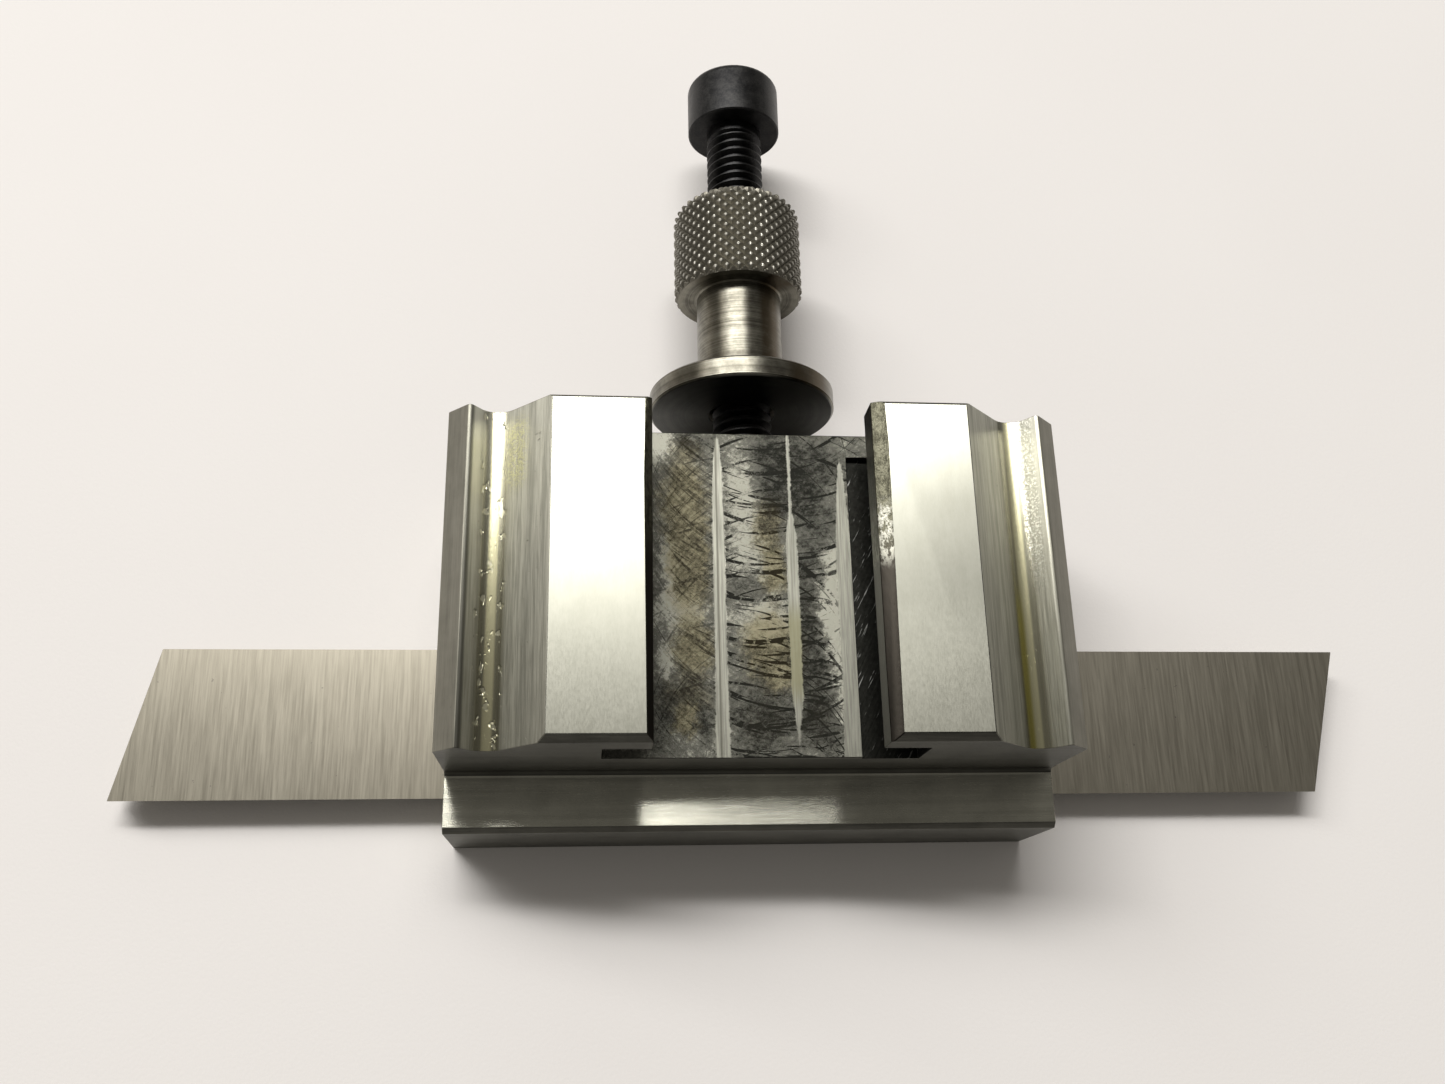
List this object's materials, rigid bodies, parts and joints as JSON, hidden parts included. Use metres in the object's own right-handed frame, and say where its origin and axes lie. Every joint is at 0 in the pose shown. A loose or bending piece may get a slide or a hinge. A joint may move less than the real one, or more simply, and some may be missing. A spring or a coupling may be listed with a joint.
{
  "type": "parting-off tool holder",
  "caption": "Quick-change lathe tool holder with T-slot and V rails, carrying a parting blade, a clamp bar and a knurled height nut on a cap screw.",
  "frame": {"origin": "on the front face, on the T-slot's centre plane, in the middle of the land between the block's top end and the clamp bar's pocket", "axes": "+X along the parting blade, +Y along the height screw towards its head, +Z from the front face to the rails"},
  "size_m": [0.1224, 0.082, 0.0259],
  "materials": {
    "holder_block": "ground",
    "parting_blade": "cross-ground satin",
    "clamp_bar": "milled",
    "clamp_screw_left": "black oxide",
    "clamp_screw_right": "black oxide",
    "height_screw": "black oxide",
    "height_nut": "turned and knurled"
  },
  "bodies": {
    "holder": {"holder_block": "holder_block"},
    "blade": {"parting_blade": "parting_blade"},
    "clamp": {"clamp_bar": "clamp_bar"},
    "left_clamp_screw": {"clamp_screw_left": "clamp_screw_left"},
    "right_clamp_screw": {"clamp_screw_right": "clamp_screw_right"},
    "adjuster_screw": {"height_screw": "height_screw"},
    "adjuster_nut": {"height_nut": "height_nut"}
  },
  "joints": [
    {"name": "height_screw_turn", "type": "hinge", "parent": "holder", "child": "adjuster_screw", "pos_m": [0, 0.00808, 0.00986], "axis": [0, 1, 0], "range_deg": [-1840, 3532]},
    {"name": "height_nut_travel", "type": "slide", "parent": "adjuster_screw", "child": "adjuster_nut", "axis": [0, 1, 0], "range_m": [-0.0051, 0.0098]},
    {"name": "blade_slide", "type": "slide", "parent": "holder", "child": "blade", "axis": [1, 0, 0], "range_m": [-0.027, 0.026]},
    {"name": "clamp_bar_lift", "type": "slide", "parent": "holder", "child": "clamp", "axis": [0, 0, -1], "range_m": [0, 0.0016]},
    {"name": "left_clamp_screw_turn", "type": "hinge", "parent": "clamp", "child": "left_clamp_screw", "pos_m": [-0.02, -0.0086, 0.005], "axis": [0, 0, -1], "range_deg": [-1, 724]},
    {"name": "right_clamp_screw_turn", "type": "hinge", "parent": "clamp", "child": "right_clamp_screw", "pos_m": [0.02, -0.0086, 0.005], "axis": [0, 0, -1], "range_deg": [-1, 724]}
  ],
  "couplings": [
    {"joint": "height_screw_turn", "follows": "height_nut_travel", "rad_per_m": 6283.2},
    {"joint": "left_clamp_screw_turn", "follows": "clamp_bar_lift", "rad_per_m": 7854},
    {"joint": "right_clamp_screw_turn", "follows": "clamp_bar_lift", "rad_per_m": 7854}
  ]
}
